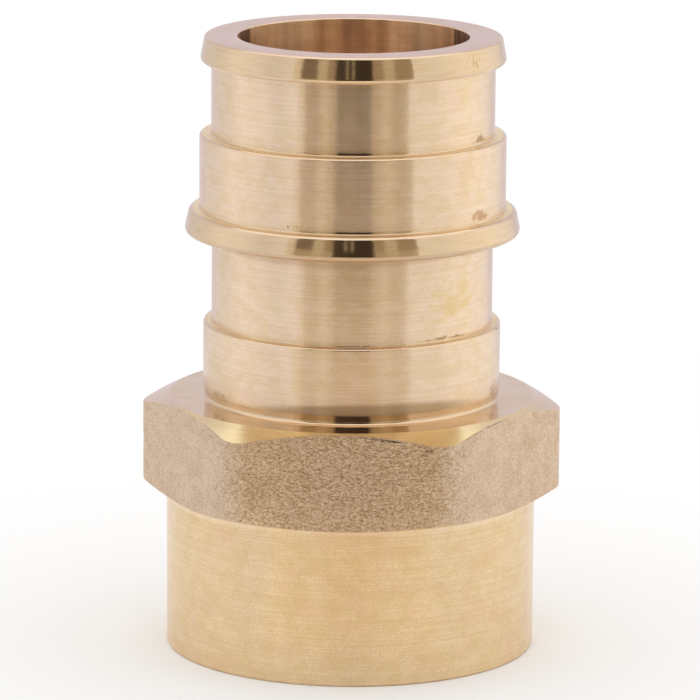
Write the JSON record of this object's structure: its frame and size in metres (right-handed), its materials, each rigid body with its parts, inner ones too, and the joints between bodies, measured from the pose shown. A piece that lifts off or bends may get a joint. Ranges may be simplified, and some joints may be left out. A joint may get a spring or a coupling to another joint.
{
  "type": "pex female adapter",
  "caption": "Brass pipe fitting with a stepped expansion barb for plastic tube, a wrench hexagon and a female taper thread socket.",
  "frame": {"origin": "centre of the socket's mouth, on the surface that the fitting stands on", "axes": "+Z along the waterway, from the threaded socket up to the end of the barb; -Y square to one flat of the hexagon"},
  "size_m": [0.0304, 0.027, 0.0448],
  "materials": {
    "brass": "turned satin on the barb, shoulder and socket, shot-blasted as forged on the hexagon's flats"
  },
  "bodies": {
    "root": {"adapter_body": "brass"}
  },
  "joints": []
}
